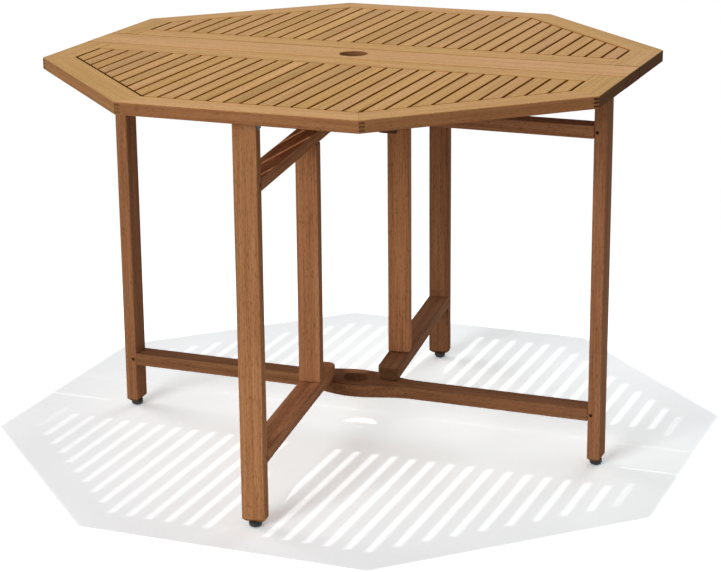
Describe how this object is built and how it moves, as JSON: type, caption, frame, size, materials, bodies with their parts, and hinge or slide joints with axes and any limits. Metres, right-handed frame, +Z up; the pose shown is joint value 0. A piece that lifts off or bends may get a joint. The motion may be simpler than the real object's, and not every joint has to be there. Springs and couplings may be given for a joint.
{
  "type": "umbrella table",
  "caption": "Octagonal slatted wooden garden table with an umbrella hole, drop leaves and swinging gate legs on black glides",
  "frame": {"origin": "on the floor under the centre of the top, on the axis of the umbrella hole", "axes": "+Z up, X along the fixed centre board, -Y towards the front leaf"},
  "size_m": [1.05, 1.05, 0.74],
  "materials": {
    "top_wood": "oiled light golden hardwood",
    "frame_wood": "oiled warm brown hardwood",
    "steel": "plain brushed steel",
    "black_plastic": "moulded black plastic"
  },
  "bodies": {
    "table_frame": {"centre_board": "top_wood", "upper_frame_rail": "frame_wood", "lower_stretcher": "frame_wood", "left_leg": "frame_wood", "left_board_cleat": "frame_wood", "left_leg_glide": "black_plastic", "left_leg_upper_tenon_pin": "frame_wood", "left_leg_lower_tenon_pin": "frame_wood", "right_leg": "frame_wood", "right_board_cleat": "frame_wood", "right_leg_glide": "black_plastic", "right_leg_upper_tenon_pin": "frame_wood", "right_leg_lower_tenon_pin": "frame_wood", "front_gate_upper_pivot_pin": "steel", "front_gate_lower_pivot_pin": "steel", "rear_gate_upper_pivot_pin": "steel", "rear_gate_lower_pivot_pin": "steel", "front_left_hinge_board_plate": "steel", "front_left_hinge_pin": "steel", "front_right_hinge_board_plate": "steel", "front_right_hinge_pin": "steel", "rear_left_hinge_board_plate": "steel", "rear_left_hinge_pin": "steel", "rear_right_hinge_board_plate": "steel", "rear_right_hinge_pin": "steel"},
    "front_leaf": {"front_leaf_inner_rail": "top_wood", "front_leaf_outer_rail": "top_wood", "front_leaf_left_end_rail": "top_wood", "front_leaf_right_end_rail": "top_wood", "front_leaf_left_diagonal_rail": "top_wood", "front_leaf_right_diagonal_rail": "top_wood", "front_leaf_slat_panel": "top_wood", "front_left_hinge_leaf_plate": "steel", "front_right_hinge_leaf_plate": "steel"},
    "rear_leaf": {"rear_leaf_inner_rail": "top_wood", "rear_leaf_outer_rail": "top_wood", "rear_leaf_left_end_rail": "top_wood", "rear_leaf_right_end_rail": "top_wood", "rear_leaf_left_diagonal_rail": "top_wood", "rear_leaf_right_diagonal_rail": "top_wood", "rear_leaf_slat_panel": "top_wood", "rear_left_hinge_leaf_plate": "steel", "rear_right_hinge_leaf_plate": "steel"},
    "front_gate": {"front_gate_leg": "frame_wood", "front_gate_post": "frame_wood", "front_gate_upper_rail": "frame_wood", "front_gate_lower_rail": "frame_wood", "front_gate_leg_cap": "black_plastic", "front_gate_leg_glide": "black_plastic", "front_gate_upper_tenon_pin": "frame_wood", "front_gate_lower_tenon_pin": "frame_wood"},
    "rear_gate": {"rear_gate_leg": "frame_wood", "rear_gate_post": "frame_wood", "rear_gate_upper_rail": "frame_wood", "rear_gate_lower_rail": "frame_wood", "rear_gate_leg_cap": "black_plastic", "rear_gate_leg_glide": "black_plastic", "rear_gate_upper_tenon_pin": "frame_wood", "rear_gate_lower_tenon_pin": "frame_wood"}
  },
  "joints": [
    {"name": "front_gate_swing", "type": "hinge", "parent": "table_frame", "child": "front_gate", "pos_m": [-0.059, -0.022, 0], "axis": [0, 0, 1], "range_deg": [0, 79.7]},
    {"name": "rear_gate_swing", "type": "hinge", "parent": "table_frame", "child": "rear_gate", "pos_m": [0.059, 0.022, 0], "axis": [0, 0, 1], "range_deg": [0, 79.7]},
    {"name": "front_leaf_lift", "type": "hinge", "parent": "table_frame", "child": "front_leaf", "pos_m": [0, -0.0475, 0.7137], "axis": [-1, 0, 0], "range_deg": [0, 4.5]},
    {"name": "rear_leaf_lift", "type": "hinge", "parent": "table_frame", "child": "rear_leaf", "pos_m": [0, 0.0475, 0.7137], "axis": [1, 0, 0], "range_deg": [0, 4.5]}
  ]
}
